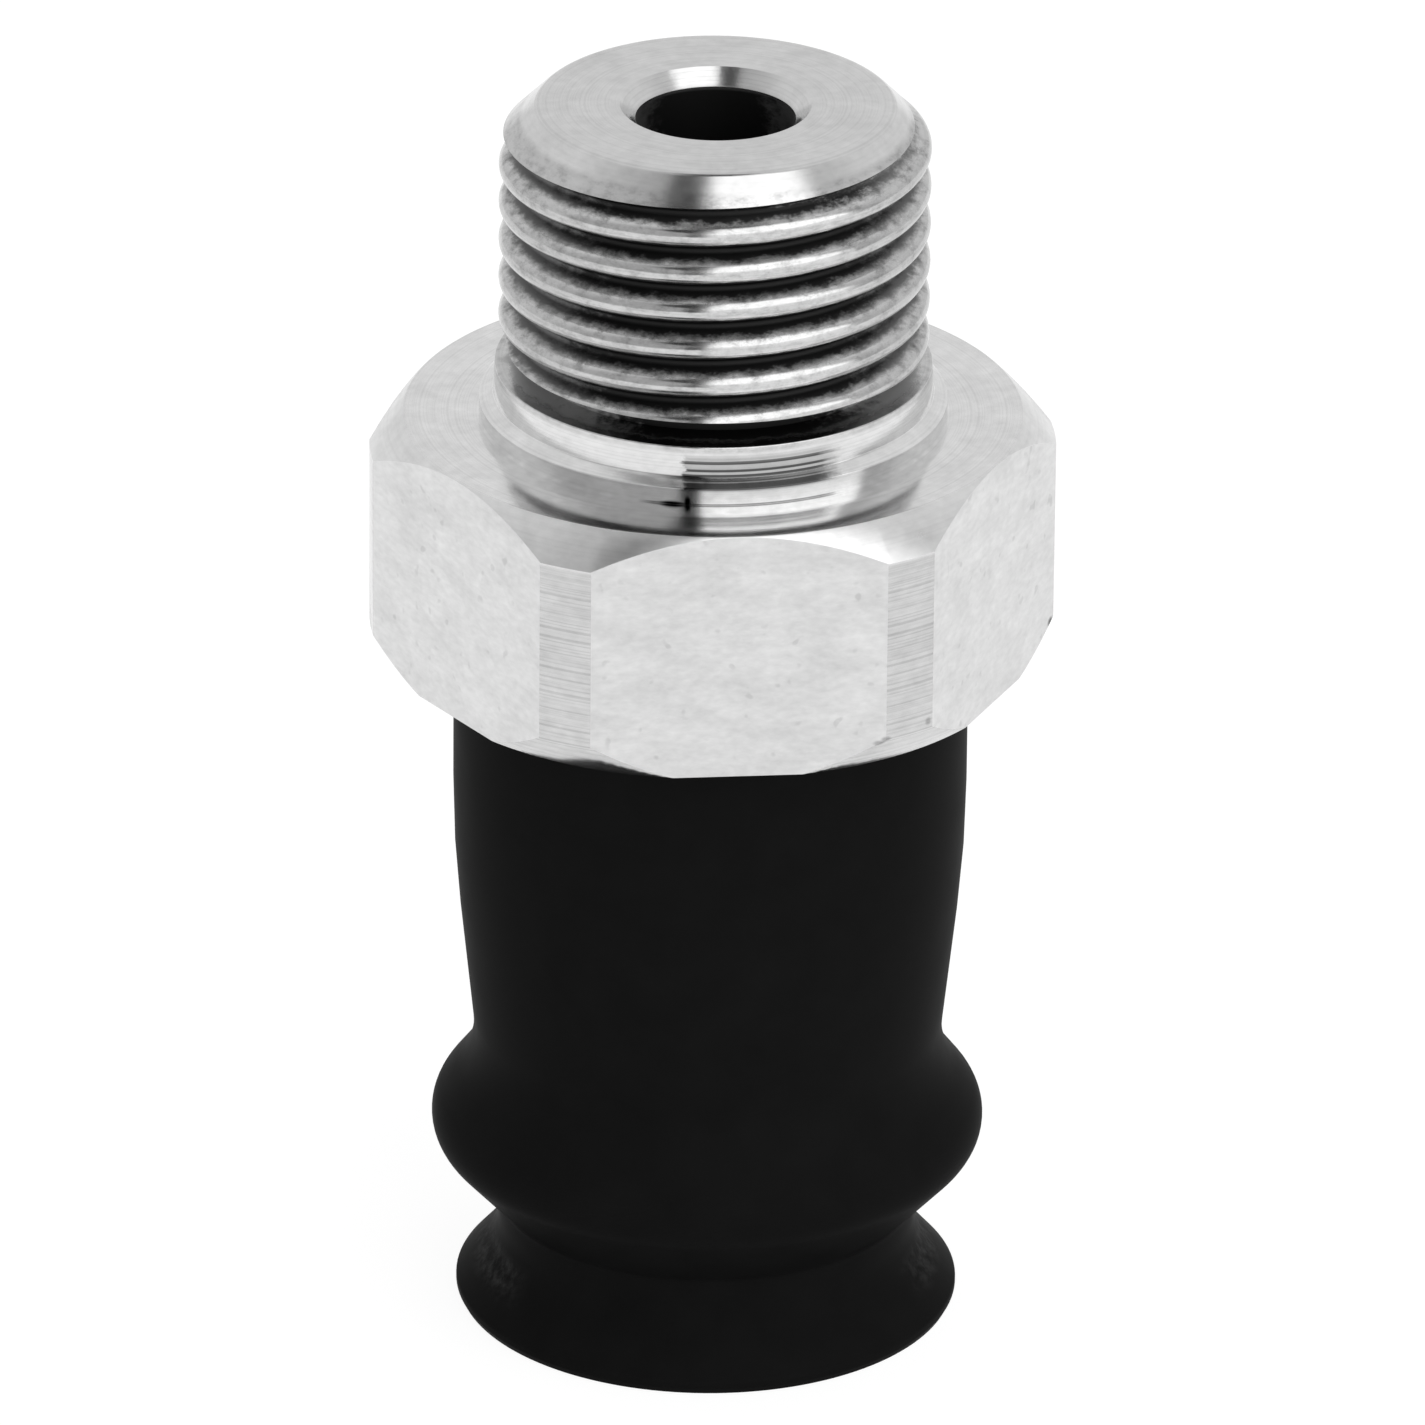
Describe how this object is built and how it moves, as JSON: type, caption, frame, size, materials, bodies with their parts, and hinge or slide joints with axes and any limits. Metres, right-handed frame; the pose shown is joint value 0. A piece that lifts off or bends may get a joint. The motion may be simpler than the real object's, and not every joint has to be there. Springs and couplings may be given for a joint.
{
  "type": "bellows suction cup",
  "caption": "Small vacuum cup: black rubber bellows with a feathered lip on a turned aluminium nipple with a hexagon, a threaded stud and an air bore.",
  "frame": {"origin": "centre of the ring where the sealing lip touches the work", "axes": "+Z along the cup's axis, from the lip up to the threaded stud; +Y at right angles to two of the hexagon's flats"},
  "size_m": [0.0154, 0.014, 0.0294],
  "materials": {
    "aluminium": "turned, light satin",
    "rubber": "moulded, smooth and half matt"
  },
  "bodies": {
    "nipple": {"nipple": "aluminium", "cup_neck": "rubber"},
    "fold": {"upper_fold_wall": "rubber"},
    "waist": {"lower_fold_wall": "rubber"},
    "lip_root": {"waist_web": "rubber"},
    "lip": {"sealing_lip": "rubber"}
  },
  "joints": [
    {"name": "upper_fold_compress", "type": "slide", "parent": "nipple", "child": "fold", "axis": [0, 0, 1], "range_m": [0, 0.0011], "stiffness_N_per_m": 500, "deforming": ["upper_fold_wall"]},
    {"name": "lower_fold_compress", "type": "slide", "parent": "fold", "child": "waist", "axis": [0, 0, 1], "range_m": [0, 0.0011], "stiffness_N_per_m": 500, "deforming": ["lower_fold_wall"]},
    {"name": "lip_tilt_x", "type": "hinge", "parent": "waist", "child": "lip_root", "pos_m": [0, 0, 0.0019], "axis": [1, 0, 0], "range_deg": [-7, 7], "stiffness_Nm_per_rad": 0.02, "deforming": ["waist_web"]},
    {"name": "lip_tilt_y", "type": "hinge", "parent": "lip_root", "child": "lip", "pos_m": [0, 0, 0.0019], "axis": [0, 1, 0], "range_deg": [-7, 7], "stiffness_Nm_per_rad": 0.02}
  ],
  "couplings": [
    {"joint": "lower_fold_compress", "follows": "upper_fold_compress", "ratio": 1}
  ]
}
